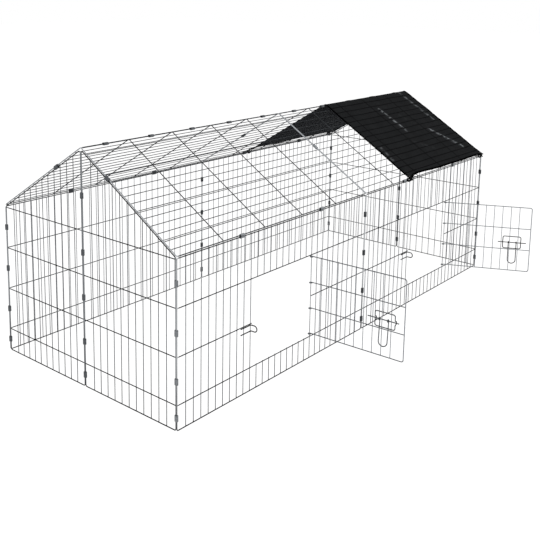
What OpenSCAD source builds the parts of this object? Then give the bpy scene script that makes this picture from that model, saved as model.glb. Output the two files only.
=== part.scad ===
// Outdoor rabbit run: welded wire panels held together by sheet metal clips, a pitched wire roof,
// two side-hung wire doors with sliding bolts, and a cloth sun cover over one end of the roof.
// Millimetres. +X runs along the ridge, -Y is the side with the doors, +Z is up.
// The origin is on the ground, at the middle of the run.

/* [Run] */
// Length over the wires
run_l = 1800; // [1500:10:2200]
// Width over the wires
run_w = 750; // [620:10:950]
// Height of the walls
eave_h = 475; // [390:5:600]
// Height of the ridge
ridge_h = 710; // [600:5:900]
// Height of the lowest row of mesh
base_row = 72; // [50:1:90]

/* [Wire] */
// Wire of the panel frames
frame_d = 3; // [2.5:0.1:4]
// Wire of the wide-spaced bars that lie in the plane of the frame
bar_d = 2.8; // [2:0.1:3.2]
// Wire of the close-spaced rods on the inner side
rod_d = 2.2; // [1.6:0.1:2.6]
// Wire of the door frames
door_d = 3; // [2:0.1:3.6]
// Wire of the latch pieces
latch_d = 3.2; // [2.4:0.1:3.8]
// Radius of the frame corners, to the middle of the wire
bend_r = 5.5; // [5:0.5:16]
// How far two crossed wires sink into each other at a weld
weld = 0.3; // [0.2:0.05:0.4]
// Space between the frames of two neighbouring panels
seam_gap = 0.5; // [0.3:0.1:2]
// Space between the roof's rods and the top wires that the roof is clipped to
roof_clear = 0.3; // [0.2:0.1:2]

/* [Mesh] */
// Spacing of the rods
rod_pitch = 29.5; // [27:0.5:32]
// Least space between a frame and its first rod
rod_margin = 26; // [20:1:30]
// Rafters inside each roof panel
rafters = 4; // [3:1:5]

/* [Doors] */
// The rod at the latch side of the doorway, counted from the left end of its panel
latch_rod = 10; // [6:1:10]
// Width of the doorway in rod spaces
door_bays = 10; // [9:1:11]
// Space between the doorway's bars and the top and bottom wires of the door
door_gap = 7.5; // [5:0.5:10]
// How far the door reaches past the latch rod
door_overlap = 27; // [24:1:29]
// Spacing of the door's own rods
door_rod_pitch = 30.9; // [29:0.1:31]
// Radius of the hinge eyes, to the middle of the wire
eye_r = 4.4; // [4:0.1:5.5]
// Corner radius of the door frame
door_bend_r = 7; // [4:0.5:14]
// How far the left door stands open, in degrees
left_open = 92.2; // [60:0.1:170]
// How far the right door stands open, in degrees
right_open = 116.3; // [60:0.1:170]

/* [Latches] */
// Width of the guide frame
guide_w = 66; // [60:1:70]
// Height of the guide frame
guide_h = 47; // [44:1:56]
// From the guide frame to the door's end wire
guide_inset = 33; // [31:0.5:36]
// Height of the bolt over the bottom of the guide
bolt_rise = 22; // [18:0.5:27]
// Diameter of the bolt
bolt_d = 3.2; // [2.6:0.1:3.6]
// Length of the bolt
bolt_l = 104; // [96:1:110]
// From the bolt's tip to the door's end wire, left door
left_tip = 22; // [12:1:28]
// From the bolt's tip to the door's end wire, right door
right_tip = 13; // [12:1:28]
// From the bolt's tip to the nearer leg of the handle
handle_back = 36; // [34:1:38]
// Width of the handle, between the middles of its legs
handle_w = 29; // [24:1:32]
// From the bolt down to the handle's lowest wire
handle_drop = 82.7; // [60:0.1:90]
// Angle at which the handle hangs in towards the door
handle_hang = 4; // [0:0.5:5]
// Length of the keeper's legs along the wall
keeper_l = 45; // [35:1:50]
// How far the keeper's loop stands out from the wall
keeper_out = 22; // [20:0.5:26]
// Height of the keeper's loop
keeper_h = 18; // [14:0.5:20]
// Height of the keeper's middle over the bolt
keeper_rise = 4.5; // [0:0.5:5]

/* [Clips] */
// Length of a clip
clip_l = 17; // [14:0.5:22]
// Sheet thickness of a clip
clip_wall = 2.4; // [1:0.1:2.6]
// Clearance between a clip and its wires
clip_gap = 0.1; // [0.05:0.05:0.2]
// Height of the topmost clip on a gable, as a share of the height from eave to ridge
gable_clip_at = 0.44; // [0.3:0.01:0.6]

/* [Sun cover] */
// Length of the cover along the ridge
cover_l = 616; // [500:1:700]
// How far the cover reaches past the end of the roof
cover_over = 6; // [0:1:10]
// Thickness of the cloth as it lies
cover_t = 1.4; // [1:0.1:2]
// Height of the cover's main folds
fold_h = 5; // [2:0.5:8]
// Distance of the tied corners from the eave wire
hem_in = 1; // [0:0.5:5]
// How far the back lower edge is drawn up between its tied corners
scallop = 14; // [6:1:20]
// How far the front lower edge is drawn up beside its left corner
draw_up = 11; // [6:1:26]
// Thickness of the elastic cord in the corner ties
tie_d = 3; // [2:0.5:4]

/* [Hidden] */
$fn = 24;
lap = 0.1;
bend_extra = 0.02;

// Frame lines, all measured to the middle of the wire
seam_d = frame_d + seam_gap;
end_x = (run_l - frame_d) / 2;
side_y = (run_w - frame_d) / 2;
ground_z = frame_d / 2;
panel_w = end_x - seam_d / 2;
wall_h = eave_h - frame_d;
gable_w = side_y - seam_d - seam_d / 2;

// Bars lie flush with the inner side of the frame, and the rods are welded on from inside
bar_in = (frame_d - bar_d) / 2;
rod_in = (frame_d + rod_d) / 2 - weld;
rod_end = rod_d / 2;
// Height of the roof frame over the top wires it is clipped to, from middle to middle
roof_lift = frame_d / 2 + rod_in + rod_d / 2 + roof_clear;

// The roof plane goes through its lower wire, above the wall, and its upper wire, at the ridge
roof_foot = [-side_y, eave_h - frame_d / 2 + roof_lift];
roof_head = [-seam_d / 2, ridge_h - frame_d / 2];
roof_w = norm(roof_head - roof_foot);
slope = atan2(roof_head[1] - roof_foot[1], roof_head[0] - roof_foot[0]);

// Height over the ground wire of the gable's sloping wire, at a distance from the corner post
function gable_top(x) =
    roof_foot[1] - roof_lift / cos(slope) + (x + seam_d) * tan(slope) - ground_z;

// Mesh
first_bar = base_row - ground_z;
row_h = (wall_h - first_bar) / 3;
bars = [first_bar, first_bar + row_h, first_bar + 2 * row_h];
eave_bend_r = 4;
gable_eave_bar = gable_top(0) - eave_bend_r * tan((90 - slope) / 2) - bar_d / 2 - 0.4;
rafter_pitch = panel_w / (rafters + 1);
function rod_count(w) = floor((w - 2 * rod_margin) / rod_pitch) + 1;
function rod_at(w, i) = (w - (rod_count(w) - 1) * rod_pitch) / 2 + i * rod_pitch;
function rod_places(w) = [for (i = [0 : rod_count(w) - 1]) rod_at(w, i)];
// The middle of the space between two rods that lies nearest to x, and of the last one before x
function rod_space(w, x) = rod_at(w, round((x - rod_at(w, 0)) / rod_pitch - 0.5) + 0.5);
function space_before(w, x) = rod_at(w, floor((x - rod_at(w, 0)) / rod_pitch - 0.5) + 0.5);

// Doors, in their own frame: the hinge rod is the Z axis, the door runs along +X, +Y is its outer face
hinge_rod = latch_rod + door_bays;
door_w = door_bays * rod_pitch + door_overlap;
door_low = ground_z + bars[0] + door_gap;
door_high = ground_z + bars[2] - door_gap;
door_step = (door_high - door_low) / 3;
door_rods = floor((door_w - door_rod_pitch) / door_rod_pitch);
door_rod_out = (bar_d + rod_d) / 2 - weld;
guide_out = door_rod_out + (rod_d + latch_d) / 2 - weld;
guide_low = door_low + door_step + (bar_d + latch_d) / 2 - 0.1;
guide_end = door_w - guide_inset;
guide_bend_r = 6;
play = 0.4;
ring_r = (bolt_d + latch_d) / 2 + play;
bolt_z = guide_low + bolt_rise;
bolt_out = eye_r + door_rod_out + rod_d / 2 + play + ring_r + latch_d / 2;
bump_out = bolt_out + (bolt_d + latch_d) / 2 + play - eye_r - guide_out;
bump_r = 2.5;
bump_flat = 3.5;
bump_foot = 7;
crimp_d = bolt_d + 1.6;
crimp_l = 1.6;

// Keeper, in the frame of its wall panel
keeper_plane = (latch_d + rod_d) / 2 - 0.05 - rod_in;
keeper_high = bolt_z - ground_z + keeper_rise + keeper_h / 2;
keeper_bend_r = 4;

// Clips: middles of the mesh rows on a post, and the fifth one near the top of each gable
row_clips = [
    bars[0] / 2, (bars[0] + bars[1]) / 2, (bars[1] + bars[2]) / 2, (bars[2] + wall_h) / 2
];
gable_clip_z = gable_eave_bar + gable_clip_at * (gable_top(gable_w) - gable_eave_bar);
// The gable's rods reach into the sleeves on its sloping wire, so each of these sits in a space of the
// roof's rods near 0.7 of the way up, in the one that lies furthest from a rod of the gable
gable_rods_up = [for (x = rod_places(gable_w)) (x + seam_d - roof_lift * sin(slope)) / cos(slope)];
rafter_spaces = [for (k = [-1 : 1]) rod_space(roof_w, 0.7 * roof_w) + k * rod_pitch];
off_gable_rods = [for (s = rafter_spaces) min([for (g = gable_rods_up) abs(s - g)])];
rafter_clip_at = off_gable_rods[1] > clip_l / 2 + rod_d
    ? rafter_spaces[1] : rafter_spaces[search(max(off_gable_rods), off_gable_rods)[0]];
roof_seam_clip_at = rod_space(roof_w, 0.57 * roof_w);
eave_clips = [rod_space(panel_w, 1.5 * rafter_pitch), rod_space(panel_w, (rafters - 0.5) * rafter_pitch)];

steel = "#8d9194";
clip_steel = "#5c5f62";
cloth = "#202225";

// A straight wire between two points
module wire(p, q, d) {
    v = q - p;
    translate(p) rotate([0, acos(v[2] / norm(v)), atan2(v[1], v[0])]) cylinder(d = d, h = norm(v));
}

function unit(v) = v / norm(v);

// A wire bent along a path, with a round corner at each point. Its straight lengths end just inside
// the bends, which are a hair thicker, so that each joint is one solid
module bent_wire(path, d, r, closed = false) {
    n = len(path);
    last = closed ? n - 1 : n - 2;
    function at(i) = let (p = path[(i + n) % n]) [p[0], p[1], len(p) > 2 ? p[2] : 0];
    function along(i) = unit(at(i + 1) - at(i));
    function turn(i) = acos(along(i - 1) * along(i));
    function radius(i) = is_list(r) ? r[i % n] : r;
    function cut(i) = !closed && i % (n - 1) == 0 ? 0 : radius(i) * tan(turn(i) / 2);
    function lapped(i) = max(0, cut(i) - lap);
    for (i = [0 : last]) wire(at(i) + along(i) * lapped(i), at(i + 1) - along(i) * lapped(i + 1), d);
    for (i = [closed ? 0 : 1 : last]) {
        ahead = along(i - 1);
        out = unit((along(i) * ahead) * ahead - along(i));
        up = cross(out, ahead);
        centre = at(i) - ahead * cut(i) - out * radius(i);
        multmatrix([for (k = [0 : 2]) [out[k], ahead[k], up[k], centre[k]]])
            rotate_extrude(angle = turn(i)) translate([radius(i), 0]) circle(d = d + 2 * bend_extra);
    }
}

// The bars and rods that fill a frame w wide, with its top at a height given for each rod
module bar(x0, x1, y) wire([x0, y, -bar_in], [x1, y, -bar_in], bar_d);
module rod(x, y0, y1) wire([x, y0, -rod_in], [x, y1, -rod_in], rod_d);

// A long wall panel. Its frame lies in the XY plane with +Z outwards, and its lower left corner is
// at the origin. A doorway leaves out a stretch of the middle bar and of the rods
module wall_panel(doorway = false) {
    places = rod_places(panel_w);
    x0 = places[latch_rod - 1];
    x1 = places[hinge_rod - 1];
    color(steel) {
        bent_wire([[0, 0], [panel_w, 0], [panel_w, wall_h], [0, wall_h]], frame_d, bend_r, true);
        bar(0, panel_w, bars[0]);
        bar(0, panel_w, bars[2]);
        if (doorway) {
            bar(0, x0 + bar_d, bars[1]);
            bar(x1 - bar_d / 2, panel_w, bars[1]);
        } else {
            bar(0, panel_w, bars[1]);
        }
        for (x = places) {
            if (doorway && x > x0 && x < x1) {
                rod(x, -rod_end, bars[0] + rod_end);
                rod(x, bars[2] - rod_end, wall_h + rod_end);
            } else {
                rod(x, -rod_end, wall_h + rod_end);
            }
        }
    }
}

// One half of a gable, as above: the corner post is at x = 0 and the middle post at x = gable_w
module gable_panel() {
    color(steel) {
        bent_wire([[0, 0], [gable_w, 0], [gable_w, gable_top(gable_w)], [0, gable_top(0)]],
            frame_d, [bend_r, bend_r, bend_r, eave_bend_r], true);
        for (y = concat(bars, [gable_eave_bar])) bar(0, gable_w, y);
        for (x = rod_places(gable_w)) rod(x, -rod_end, gable_top(x) + rod_end / 2);
    }
}

// A roof panel: the eave wire is at y = 0 and the ridge wire at y = roof_w, with +Z outwards
module roof_panel() {
    color(steel) {
        bent_wire([[0, 0], [panel_w, 0], [panel_w, roof_w], [0, roof_w]], frame_d, bend_r, true);
        for (i = [1 : rafters])
            wire([i * rafter_pitch, 0, -bar_in], [i * rafter_pitch, roof_w, -bar_in], bar_d);
        for (y = rod_places(roof_w))
            wire([-rod_end, y, -rod_in], [panel_w + rod_end, y, -rod_in], rod_d);
    }
}

// Places for things drawn in a panel's own frame. Each stands a frame up on its side of the run
module on_front(x) translate([x, -side_y, ground_z]) rotate([90, 0, 0]) children();
module on_back(x) rotate([0, 0, 180]) on_front(x) children();
module on_left_gable() translate([-end_x, 0, ground_z]) rotate([90, 0, -90]) children();
module on_right_gable() rotate([0, 0, 180]) on_left_gable() children();
module on_front_roof(x) translate([x, roof_foot[0], roof_foot[1]]) rotate([slope, 0, 0]) children();
module on_back_roof(x) rotate([0, 0, 180]) on_front_roof(x) children();
gable_post = side_y - seam_d;
left_x = -end_x;
right_x = seam_d / 2;

// Doors
function hinge_x(panel_x) = panel_x + rod_at(panel_w, hinge_rod - 1);
module on_door(panel_x, open)
    translate([hinge_x(panel_x), -side_y + rod_in, 0]) rotate([0, 0, 180 + open]) children();

// A wire that ends in an eye round the hinge rod, at the left end of a door
module hinge_eye(z, d)
    translate([0, 0, z]) rotate([0, 0, 90]) rotate_extrude(angle = 270) translate([eye_r, 0]) circle(d = d);

module door() {
    color(steel) {
        translate([0, eye_r, 0]) rotate([90, 0, 0]) {
            bent_wire([[0, door_low], [door_w, door_low], [door_w, door_high], [0, door_high]],
                door_d, door_bend_r);
            for (z = [door_low + door_step, door_high - door_step]) wire([0, z, 0], [door_w, z, 0], bar_d);
            for (i = [1 : door_rods])
                wire([i * door_rod_pitch, door_low - rod_end, -door_rod_out],
                    [i * door_rod_pitch, door_high + rod_end, -door_rod_out], rod_d);
        }
        for (z = [door_low, door_high]) hinge_eye(z, door_d);
        for (z = [door_low + door_step, door_high - door_step]) hinge_eye(z, bar_d);
    }
}

// The guide: a flat rectangle of wire whose two upright sides bow outwards round the bolt
module latch_guide() {
    x0 = guide_end - guide_w;
    function side(x, up) = [
        [x, 0, bolt_rise - up * bump_foot], [x, bump_out, bolt_rise - up * bump_flat],
        [x, bump_out, bolt_rise + up * bump_flat], [x, 0, bolt_rise + up * bump_foot]
    ];
    bends = [for (i = [0 : 5]) i == 0 || i == 5 ? guide_bend_r : bump_r];
    color(steel) translate([0, eye_r + guide_out, guide_low])
        bent_wire(concat([[guide_end, 0, 0]], side(guide_end, 1), [[guide_end, 0, guide_h], [x0, 0, guide_h]],
            side(x0, -1), [[x0, 0, 0]]), latch_d, concat(bends, bends), true);
}

// The bolt, with two crimped collars that the handle pushes against
module bolt(tip) {
    far_leg = handle_back + handle_w;
    eye_side = latch_d / 2 + play;
    color(steel) translate([door_w - tip, bolt_out, bolt_z]) rotate([0, -90, 0]) {
        cylinder(d = bolt_d, h = bolt_l);
        translate([0, 0, handle_back + eye_side]) cylinder(d = crimp_d, h = crimp_l);
        translate([0, 0, far_leg - eye_side - crimp_l]) cylinder(d = crimp_d, h = crimp_l);
    }
}

// The handle: a U of wire whose ends are curled round the bolt
module bolt_handle(tip) {
    bow_r = handle_w / 2;
    color(steel) translate([door_w - tip - handle_back - bow_r, bolt_out, bolt_z])
        rotate([-handle_hang, 0, 0]) {
            for (x = [-bow_r, bow_r]) {
                translate([x, 0, 0]) rotate([90, 0, 90]) rotate_extrude(angle = 270)
                    translate([ring_r, 0]) circle(d = latch_d);
                wire([x, ring_r, 0], [x, ring_r, bow_r - handle_drop], latch_d);
            }
            translate([0, ring_r, bow_r - handle_drop]) rotate([-90, 0, 0])
                rotate_extrude(angle = 180) translate([bow_r, 0]) circle(d = latch_d);
        }
}

// The keeper: a hairpin welded on the latch rod and the rods behind it, its loop bent outwards
module keeper() {
    x = rod_at(panel_w, latch_rod - 1);
    mid_r = keeper_h / 2;
    tip_z = keeper_out - mid_r;
    color(steel) {
        for (y = [keeper_high, keeper_high - keeper_h]) translate([0, y, 0]) rotate([90, 0, 0])
            bent_wire([[x - keeper_l, keeper_plane], [x, keeper_plane], [x, tip_z]],
                latch_d, keeper_bend_r);
        translate([x, keeper_high - mid_r, tip_z]) rotate([0, -90, 0]) rotate([0, 0, -90])
            rotate_extrude(angle = 180) translate([mid_r, 0]) circle(d = latch_d);
    }
}

// A clip: a flattened sleeve along Z round two wires that lie span apart along X
module slot_shape(span, r) {
    for (x = [-span / 2, span / 2]) translate([x, 0]) circle(r = r);
    square([span, 2 * r], center = true);
}
module clip(span) {
    inner = frame_d / 2 + clip_gap;
    color(clip_steel) difference() {
        linear_extrude(clip_l, center = true) slot_shape(span, inner + clip_wall);
        linear_extrude(clip_l + 1, center = true) slot_shape(span, inner);
    }
}

// Clips up the post where two panels of one wall meet, and up a corner
module post_clips(x, y, turn, heights)
    for (z = heights) translate([x, y, ground_z + z]) rotate([0, 0, turn]) clip(seam_d);
module corner_clips(side, end) post_clips(end * end_x, side * (side_y - seam_d / 2), 90, row_clips);
module gable_clips(end) post_clips(end * end_x, 0, 90, concat(row_clips, [gable_clip_z]));
// Where the cover's tie has taken an eave clip's space, the clip sits one space nearer the middle
function off_tie(x) = abs(x - tie_x[0]) < clip_l / 2 + tie_d ? x - rod_pitch : x;
module eave_clip_row()
    for (x = concat([for (c = eave_clips) left_x + c], [for (c = eave_clips) off_tie(right_x + c)]))
        translate([x, -side_y, eave_h - frame_d / 2 + roof_lift / 2]) rotate([0, 90, 0]) clip(roof_lift);
module ridge_clips()
    for (x0 = [left_x, right_x], i = [0 : rafters])
        translate([x0 + (i + 0.5) * rafter_pitch, 0, roof_head[1]]) rotate([90, 0, 90]) clip(seam_d);
module roof_seam_clip()
    on_front_roof(0) translate([0, roof_seam_clip_at, 0]) rotate([90, 0, 0]) clip(seam_d);
module rafter_clip(end)
    on_front_roof(end * end_x) translate([0, rafter_clip_at, -roof_lift / 2])
        rotate([90, 90, 0]) clip(roof_lift);
module rafter_clips(end) {
    rafter_clip(end);
    mirror([0, 1, 0]) rafter_clip(end);
}

// Sun cover. It is followed from one lower edge over the ridge to the other, as a distance across,
// from -1 to 1, and a distance along the ridge, from 0 to 1
cover_x0 = run_l / 2 + cover_over - cover_l;
across_steps = 32;
along_steps = 16;
rest_h = frame_d / 2 + clip_gap + clip_wall + 0.3;
ridge_round = 12;
ridge_rise = 2.5;
// Loops of the ties, the first just left of the cover and the other under it, beyond the last rod. The
// cloth rises over the second one
tie_r = roof_lift / 2 + frame_d / 2 + tie_d / 2 + 0.3;
tie_x = [
    right_x + space_before(panel_w, cover_x0 - tie_d / 2 - 0.5 - right_x), end_x - rod_at(panel_w, 0) / 2
];
over_tie = tie_r + tie_d / 2 - roof_lift / 2 * cos(slope) - rest_h + 0.3;
function bell(t, mid, width) = exp(-pow((t - mid) / width, 2));
// How far the lower edge lies up the roof from the eave wire. At the back it is drawn up all along, at
// the front beside the left corner only
function edge_up(u, v) = hem_in + (u > 0 ? scallop * pow(sin(180 * v), 0.8)
    : draw_up * pow(sin(180 * pow(min(1, v / 0.42), 0.55)), 0.8));
// Lift of the cloth off the clips: long folds from ridge to eave, and ripples over the lower edge
function fold(u, v) =
    fold_h * (bell(v, 0.34 + 0.06 * u, 0.035) + 0.8 * bell(v, 0.69 - 0.05 * u, 0.03)) * min(1, 3 * (1 - abs(u)) + 0.4)
    + fold_h * 0.7 * pow(abs(u), 6) * pow(sin(540 * v), 2)
    + 1.4 * over_tie * pow(abs(u), 6) * bell(v, (tie_x[1] - cover_x0) / cover_l, 0.05);
// A point of the cloth in the YZ plane, at a height over the roof frame
function over_roof(s, h) =
    let (a = roof_foot + s * [cos(slope), sin(slope)], n = [-sin(slope), cos(slope)]) a + h * n;
function cover_point(u, v, h) =
    let (
        s = roof_w - abs(u) * (roof_w - edge_up(u, v)),
        flat = over_roof(s, h),
        peak = [0, roof_head[1] + h + ridge_rise],
        blend = exp(-pow((roof_w - s) / ridge_round, 2)),
        yz = flat * (1 - blend) + peak * blend
    )
    [cover_x0 + v * cover_l, (u > 0 ? -1 : 1) * yz[0], yz[1]];
module sun_cover() {
    nu = across_steps;
    nv = along_steps;
    row = nv + 1;
    sheet = (nu + 1) * row;
    function p(k, i, j) =
        let (u = 2 * i / nu - 1, v = j / nv) cover_point(u, v, rest_h + fold(u, v) + k * cover_t);
    function id(k, i, j) = k * sheet + i * row + j;
    points = [for (k = [0, 1], i = [0 : nu], j = [0 : nv]) p(k, i, j)];
    top = [for (i = [0 : nu - 1], j = [0 : nv - 1], half = [0, 1]) half == 0
        ? [id(1, i, j), id(1, i + 1, j + 1), id(1, i + 1, j)]
        : [id(1, i, j), id(1, i, j + 1), id(1, i + 1, j + 1)]];
    under = [for (f = top) [f[0] - sheet, f[2] - sheet, f[1] - sheet]];
    rim = concat(
        [for (j = [0 : nv - 1]) [id(0, 0, j), id(1, 0, j)]],
        [for (i = [0 : nu - 1]) [id(0, i, nv), id(1, i, nv)]],
        [for (j = [nv : -1 : 1]) [id(0, nu, j), id(1, nu, j)]],
        [for (i = [nu : -1 : 1]) [id(0, i, 0), id(1, i, 0)]]
    );
    m = len(rim);
    side = [for (k = [0 : m - 1], half = [0, 1]) let (a = rim[k], b = rim[(k + 1) % m]) half == 0
        ? [a[0], b[1], a[1]] : [a[0], b[0], b[1]]];
    color(cloth) polyhedron(points, concat(top, under, side), convexity = 10);
}

// A tie: a loop of elastic cord round the eave wires beside a corner of the cover, with its knot
knot_r = 1.6 * tie_d;
module cover_tie(x)
    color(cloth) translate([x, -side_y, eave_h - frame_d / 2 + roof_lift / 2]) {
        rotate([0, 90, 0]) rotate_extrude() translate([tie_r, 0]) circle(d = tie_d);
        translate([0, -tie_r - knot_r / 2, 0]) sphere(r = knot_r);
    }

on_front(left_x) wall_panel(true);  // front_left_panel
on_front(right_x) wall_panel(true);  // front_right_panel
on_back(right_x) wall_panel();  // back_left_panel
on_back(left_x) wall_panel();  // back_right_panel
on_left_gable() mirror([1, 0, 0]) translate([-gable_post, 0, 0]) gable_panel();  // left_gable_front_panel
on_left_gable() translate([-gable_post, 0, 0]) gable_panel();  // left_gable_back_panel
on_right_gable() translate([-gable_post, 0, 0]) gable_panel();  // right_gable_front_panel
on_right_gable() mirror([1, 0, 0]) translate([-gable_post, 0, 0]) gable_panel();  // right_gable_back_panel
on_front_roof(left_x) roof_panel();  // roof_front_left_panel
on_front_roof(right_x) roof_panel();  // roof_front_right_panel
on_back_roof(right_x) roof_panel();  // roof_back_left_panel
on_back_roof(left_x) roof_panel();  // roof_back_right_panel
on_door(left_x, left_open) door();  // left_door
on_door(right_x, right_open) door();  // right_door
on_door(left_x, left_open) latch_guide();  // left_latch_guide
on_door(right_x, right_open) latch_guide();  // right_latch_guide
on_door(left_x, left_open) bolt(left_tip);  // left_bolt
on_door(right_x, right_open) bolt(right_tip);  // right_bolt
on_door(left_x, left_open) bolt_handle(left_tip);  // left_bolt_handle
on_door(right_x, right_open) bolt_handle(right_tip);  // right_bolt_handle
on_front(left_x) keeper();  // left_keeper
on_front(right_x) keeper();  // right_keeper
corner_clips(-1, -1);  // front_left_corner_clips
corner_clips(-1, 1);  // front_right_corner_clips
corner_clips(1, -1);  // back_left_corner_clips
corner_clips(1, 1);  // back_right_corner_clips
post_clips(0, -side_y, 0, row_clips);  // front_seam_clips
post_clips(0, side_y, 0, row_clips);  // back_seam_clips
gable_clips(-1);  // left_gable_clips
gable_clips(1);  // right_gable_clips
eave_clip_row();  // front_eave_clips
mirror([0, 1, 0]) eave_clip_row();  // back_eave_clips
ridge_clips();
roof_seam_clip();  // front_roof_seam_clip
mirror([0, 1, 0]) roof_seam_clip();  // back_roof_seam_clip
rafter_clips(-1);  // left_rafter_clips
rafter_clips(1);  // right_rafter_clips
sun_cover();
cover_tie(tie_x[0]);  // front_left_cover_tie
cover_tie(tie_x[1]);  // front_right_cover_tie
mirror([0, 1, 0]) cover_tie(tie_x[0]);  // back_left_cover_tie
mirror([0, 1, 0]) cover_tie(tie_x[1]);  // back_right_cover_tie
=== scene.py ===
import math
import bpy
import bmesh
from mathutils import Matrix, Vector


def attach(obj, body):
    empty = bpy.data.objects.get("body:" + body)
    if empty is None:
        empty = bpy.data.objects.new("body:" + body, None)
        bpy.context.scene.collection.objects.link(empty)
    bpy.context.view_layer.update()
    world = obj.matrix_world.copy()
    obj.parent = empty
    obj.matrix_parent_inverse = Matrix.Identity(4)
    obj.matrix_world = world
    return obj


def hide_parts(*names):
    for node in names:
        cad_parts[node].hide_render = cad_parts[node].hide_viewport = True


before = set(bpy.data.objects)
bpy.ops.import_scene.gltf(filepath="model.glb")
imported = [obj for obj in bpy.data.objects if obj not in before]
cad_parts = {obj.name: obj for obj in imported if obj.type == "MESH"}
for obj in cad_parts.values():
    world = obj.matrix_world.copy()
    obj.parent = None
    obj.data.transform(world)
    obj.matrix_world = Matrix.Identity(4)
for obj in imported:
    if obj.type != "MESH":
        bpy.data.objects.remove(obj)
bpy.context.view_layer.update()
bpy.ops.object.select_all(action="DESELECT")

# ---- The view ----------------------------------------------------------------------------------
# The run stands alone and is seen from above the left end of its front, about three metres from
# its middle. The near corner post stands almost upright in the picture, so the lens is shifted.
eye = (-2.3258, -1.7821, 1.1481)
azimuth, elevation, roll = (math.radians(a) for a in (-49.1319, 9.7239, 0.5877))
# The picture's side, the lens's focal length and its shift, all in pixels
picture, focal_length, lens_shift = 540, 824.71, (40, -140)
sensor = 36


def set_out(place, x_axis, y_axis, z_axis):
    """A placing that turns X, Y and Z to three given directions."""
    axes = Matrix((x_axis, y_axis, z_axis)).transposed()
    return Matrix.Translation(place) @ axes.to_4x4()


towards_eye = Vector((math.sin(azimuth) * math.cos(elevation),
                      -math.cos(azimuth) * math.cos(elevation), math.sin(elevation)))
across = (-towards_eye).cross(Vector((0, 0, 1))).normalized()
upward = across.cross(-towards_eye)
across, upward = (math.cos(roll) * across + math.sin(roll) * upward,
                  math.cos(roll) * upward - math.sin(roll) * across)
bpy.ops.object.camera_add()
camera = bpy.context.object
camera.matrix_world = set_out(eye, across, upward, towards_eye)
camera.data.sensor_width = sensor
camera.data.lens = sensor * focal_length / picture
camera.data.shift_x = lens_shift[0] / picture
camera.data.shift_y = lens_shift[1] / picture
camera.data.clip_start = 0.05
bpy.context.scene.camera = camera


# ---- The studio --------------------------------------------------------------------------------
# A white floor that runs into a white surround, with one wide soft lamp over the viewer's left
# shoulder and a weaker one from the right. The wires mirror the white room they stand in.
floor_side, floor_drop = 40, 0.0006


def linear(code):
    """An sRGB hex colour as the linear RGBA that the shaders take."""
    parts = [int(code[i:i + 2], 16) / 255 for i in (1, 3, 5)]
    return [c / 12.92 if c <= 0.04045 else ((c + 0.055) / 1.055) ** 2.4 for c in parts] + [1.0]


def add_node(tree, kind, inputs=None, **settings):
    """Adds a node, sets its options, and sets or links its inputs."""
    node = tree.nodes.new(kind)
    for name, value in settings.items():
        setattr(node, name, value)
    for name, value in (inputs or {}).items():
        if isinstance(value, bpy.types.NodeSocket):
            tree.links.new(value, node.inputs[name])
        else:
            node.inputs[name].default_value = value
    return node


def new_material(name):
    """A material with no nodes yet, and its tree."""
    material = bpy.data.materials.new(name)
    material.use_nodes = True
    material.node_tree.nodes.clear()
    return material, material.node_tree


def seen_directly(tree):
    """1 for the rays that come straight from the camera, off gloss or through glass."""
    path = add_node(tree, "ShaderNodeLightPath").outputs
    seen = path["Is Camera Ray"]
    for way in ("Is Glossy Ray", "Is Transmission Ray"):
        seen = add_node(tree, "ShaderNodeMath", {0: seen, 1: path[way]},
                        operation="MAXIMUM").outputs[0]
    return seen


white = linear("#ffffff")
world = bpy.data.worlds.new("white_surround")
world.use_nodes = True
tree = world.node_tree
tree.nodes.clear()
room = add_node(tree, "ShaderNodeBackground", {"Color": linear("#f4f5f6"), "Strength": 0.5})
backdrop = add_node(tree, "ShaderNodeBackground", {"Color": white, "Strength": 1.0})
either = add_node(tree, "ShaderNodeMixShader", {0: seen_directly(tree), 1: room.outputs[0],
                                                2: backdrop.outputs[0]})
add_node(tree, "ShaderNodeOutputWorld", {"Surface": either.outputs[0]})
bpy.context.scene.world = world
bpy.context.scene.view_settings.view_transform = "Standard"

bpy.ops.mesh.primitive_plane_add(size=1)
floor = bpy.context.object
floor.name = "studio_floor"
floor.data.transform(Matrix.Diagonal((floor_side, floor_side, 1, 1)))
floor.data.transform(Matrix.Translation((0, 0, -floor_drop)))
floor_paint, tree = new_material("matt_white_floor")
matt = add_node(tree, "ShaderNodeBsdfDiffuse", {"Color": linear("#c8c8c8"), "Roughness": 0.5})
pale = add_node(tree, "ShaderNodeBsdfDiffuse", {"Color": linear("#7c7c7c"), "Roughness": 0.5})
glow = add_node(tree, "ShaderNodeEmission", {"Color": white, "Strength": 0.93})
lit = add_node(tree, "ShaderNodeAddShader", {0: pale.outputs[0], 1: glow.outputs[0]})
either = add_node(tree, "ShaderNodeMixShader", {0: seen_directly(tree), 1: matt.outputs[0],
                                                2: lit.outputs[0]})
add_node(tree, "ShaderNodeOutputMaterial", {"Surface": either.outputs[0]})
floor.data.materials.append(floor_paint)

lit_point = Vector((0, 0, 0.3))
for name, place, size, power in (("key_lamp", (-2.6, -3.4, 4.2), 3.2, 150),
                                 ("fill_lamp", (4.0, -2.2, 2.6), 3.0, 45)):
    bpy.ops.object.light_add(type="AREA", location=place)
    lamp = bpy.context.object
    lamp.name = name
    lamp.data.size = size
    lamp.data.energy = power
    lamp.rotation_euler = (lit_point - Vector(place)).to_track_quat("-Z", "Y").to_euler()


# ---- Wire panels of the walls and gables -------------------------------------------------------
# Round mild steel wire, 3 mm in the frames, 2.8 mm in the bars and 2.2 mm in the rods, spot
# welded at every crossing and zinc plated by electrolysis: a thin, uneven, dull grey coat.
ground_dark_height = 0.2
# How far the outermost wires lie from the run's middle, along the ridge and across it
end_x, side_y = 0.8985, 0.3735


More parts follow.
